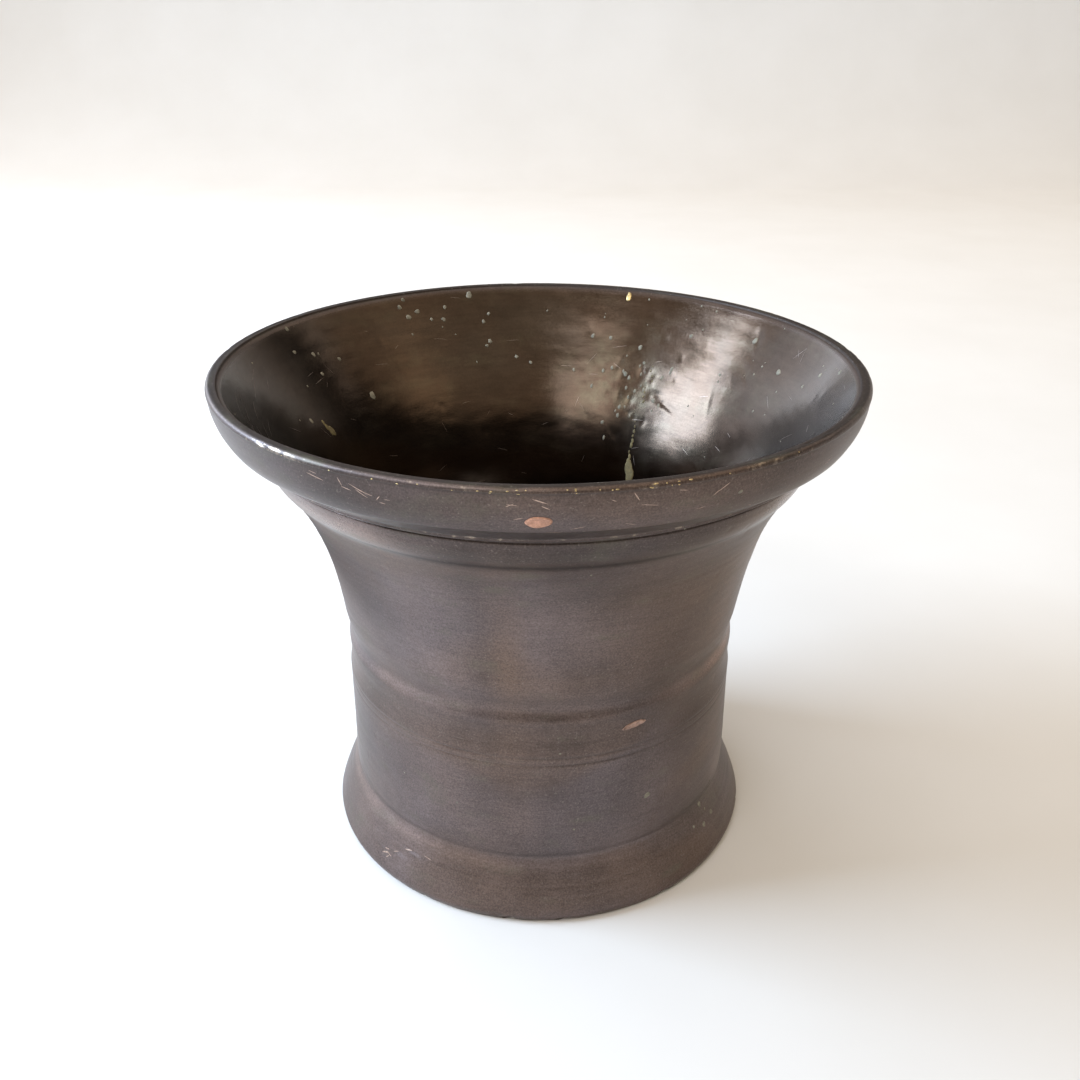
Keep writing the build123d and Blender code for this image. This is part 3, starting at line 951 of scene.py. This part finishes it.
def lip_glints(heap, rng):
    """Small worn spots along the bead of the lip, and one at the back just inside it."""
    for azimuth, spread, count in GLINTS:
        for _ in range(count):
            at = (rng.normal(azimuth, spread), HEIGHT - rng.uniform(0.25, 1.0))
            wide, tall = rng.uniform(0.1, 0.3), rng.uniform(0.07, 0.14)
            heap.dome(at, False, wide, tall, 0.03, int(rng.integers(1e6)), spokes=8, rings=2)
    heap.dome((158.6, 103.6), True, 0.7, 1.2, 0.05, 77, spokes=12, rings=3)


def make_scratches(surface):
    """Bright scratches on the fascia and the foot, glints along the lip, and dull scratches all over."""
    fresh, brass, dull = Heap(surface), Heap(surface), Heap(surface)
    rng = np.random.default_rng(51)
    fresh_scratches(fresh, rng)
    dull_scratches(dull, rng)
    lip_glints(brass, rng)
    return [
        fresh.finish("bright_scratches", scratch_material("fresh_scratch", (0.62, 0.46, 0.38, 1))),
        brass.finish("lip_glints", scratch_material("worn_brass", (0.72, 0.56, 0.28, 1))),
        dull.finish("dull_scratches", scratch_material("dull_scratch", (0.24, 0.20, 0.18, 1))),
    ]


# -------------------- floor, light and camera
def make_floor():
    """Plain pale floor, with a low sweep behind the mortar that closes the view."""
    wide, near, far, narrow = 2500.0, -2500.0, 900.0, 1200.0
    bend, top = 180.0, 260.0
    points = [(-wide, near, 0), (wide, near, 0), (wide, far, 0)]
    points += [(narrow, far, 0), (-narrow, far, 0), (-wide, far, 0)]
    faces = [(0, 1, 2, 3, 4, 5)]
    line = [(far + bend * math.sin(t), bend * (1 - math.cos(t))) for t in np.linspace(0.1, math.pi / 2, 14)]
    line.append((far + bend, top))
    for i, (y, z) in enumerate(line):
        points += [(narrow, y, z), (-narrow, y, z)]
        last = (3, 4) if i == 0 else (2 * i + 4, 2 * i + 5)
        faces.append((last[1], last[0], 2 * i + 6, 2 * i + 7))
    floor = make_mesh("floor", points, faces)
    n = Nodes("pale_floor")
    tone = n.mix(n.span(n.noise(14, 3), 0.3, 0.7), (0.695, 0.684, 0.669, 1), (0.72, 0.711, 0.70, 1))
    n.feed("Base Color", tone)
    n.feed("Roughness", 0.9)
    floor.data.materials.append(n.material)


def softbox(name, azimuth, elevation, wide, tall, radiance, colour, distance=0.75):
    """Area light that faces the mortar from a bearing: 0 is +Y (behind), 90 is +X."""
    turn, lift = math.radians(azimuth), math.radians(elevation)
    away = Vector((math.sin(turn) * math.cos(lift), math.cos(turn) * math.cos(lift), math.sin(lift)))
    data = bpy.data.lights.new(name, "AREA")
    data.shape = "RECTANGLE"
    data.size, data.size_y = wide, tall
    data.energy = radiance * math.pi * wide * tall
    data.color = colour
    lamp = bpy.data.objects.new(name, data)
    lamp.location = Vector((0, 0, 0.08)) + away * distance
    lamp.rotation_euler = away.to_track_quat("Z", "Y").to_euler()
    bpy.context.scene.collection.objects.link(lamp)
    return lamp


def make_lights():
    """Windows at the left, a pale curtain and a bright fold behind, a warm doorway at the right, and a
    wash on the backdrop."""
    softbox("window", -87, 31, 0.40, 0.33, 20.0, (0.78, 0.98, 1.22))
    softbox("pale_curtain", -41, 22, 1.40, 0.78, 2.7, (0.86, 0.98, 1.16), distance=1.7)
    softbox("second_window", -149, 45, 0.36, 0.32, 4.2, (1.0, 1.0, 1.0))
    softbox("sunlit_fold", -39, 10, 0.20, 0.09, 6.0, (1.0, 1.0, 1.0), distance=1.2)
    softbox("warm_doorway", 107, 43, 0.28, 0.18, 0.82, (1.0, 0.80, 0.55))
    wash = softbox("backdrop_wash", 0, 20, 1.7, 0.3, 1.9, (1.0, 0.99, 0.97), distance=0.9)
    wash.location = (0.0, 0.45, 0.70)
    wash.rotation_euler = (math.radians(42), 0.0, 0.0)


def over_height(tree, height, stops):
    """Colour ramp over the sine of the elevation."""
    ramp = tree.nodes.new("ShaderNodeValToRGB")
    elements = ramp.color_ramp.elements
    for place, colour in stops[1:-1]:
        elements.new(place).color = (*colour, 1)
    elements[0].position, elements[0].color = stops[0][0], (*stops[0][1], 1)
    elements[-1].position, elements[-1].color = stops[-1][0], (*stops[-1][1], 1)
    tree.links.new(height, ramp.inputs[0])
    return ramp.outputs[0]


def make_surroundings():
    """The room: a warm ceiling above, dark walls towards the camera, and pale cloth low down behind."""
    world = bpy.data.worlds.new("soft_room")
    world.use_nodes = True
    tree = world.node_tree
    where = tree.nodes.new("ShaderNodeTexCoord")
    split = tree.nodes.new("ShaderNodeSeparateXYZ")
    tree.links.new(where.outputs["Generated"], split.inputs[0])
    front = over_height(tree, split.outputs["Z"], [
        (0.0, (1.0, 0.95, 0.88)), (0.09, (0.85, 0.79, 0.70)), (0.18, (0.07, 0.065, 0.06)),
        (0.51, (0.04, 0.037, 0.035)), (0.61, (0.98, 0.80, 0.60)), (1.0, (1.0, 0.86, 0.68))])
    back = over_height(tree, split.outputs["Z"], [
        (0.0, (1.0, 0.98, 0.95)), (0.26, (0.8, 0.77, 0.72)), (0.40, (0.40, 0.37, 0.33)),
        (0.61, (0.70, 0.64, 0.55)), (1.0, (1.0, 0.86, 0.68))])
    side = tree.nodes.new("ShaderNodeMapRange")
    side.interpolation_type = "SMOOTHSTEP"
    side.inputs["From Min"].default_value, side.inputs["From Max"].default_value = 0.45, 0.75
    tree.links.new(split.outputs["Y"], side.inputs["Value"])
    mix = tree.nodes.new("ShaderNodeMix")
    mix.data_type = "RGBA"
    tree.links.new(side.outputs[0], mix.inputs[0])
    tree.links.new(front, mix.inputs[6])
    tree.links.new(back, mix.inputs[7])
    tree.links.new(mix.outputs[2], tree.nodes["Background"].inputs["Color"])
    tree.nodes["Background"].inputs["Strength"].default_value = 1.0
    bpy.context.scene.world = world


# The camera as fitted to the ellipses of the lip and the foot: distances in rim radii, angles.
CAMERA_AWAY = 3.2456
CAMERA_HIGH = 2.6161
CAMERA_DOWN = math.radians(26.6)
CAMERA_TURN = -0.00158
CAMERA_ROLL = 0.003


def make_camera():
    """Camera close in front and above the rim, looking down into the bowl."""
    data = bpy.data.cameras.new("camera")
    data.sensor_width = 36.0
    data.lens = 36.03
    data.clip_start = 0.01
    camera = bpy.data.objects.new("camera", data)
    camera.location = (0.0, -CAMERA_AWAY * RIM_RADIUS * MM, CAMERA_HIGH * RIM_RADIUS * MM)
    aim = Euler((math.pi / 2 - CAMERA_DOWN, 0.0, CAMERA_TURN), "XYZ").to_matrix()
    camera.rotation_euler = (aim @ Matrix.Rotation(CAMERA_ROLL, 3, "Z")).to_euler()
    bpy.context.scene.collection.objects.link(camera)
    bpy.context.scene.camera = camera


# -------------------- assembly
surface = Surface()
body = make_body(surface)
rim_plug, belt_plug = make_plugs(surface)
trims = make_crusts(surface) + make_scratches(surface)

for piece, node, slot in ((body, "mortar_body", "patinated_bronze"), (rim_plug, "rim_plug", "rim_copper"),
                          (belt_plug, "belt_plug", "belt_copper")):
    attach(piece, "root")
    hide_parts(node)
for piece in trims:
    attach(piece, "root")

make_floor()
make_lights()
make_surroundings()
make_camera()
bpy.context.scene.view_settings.view_transform = "Standard"
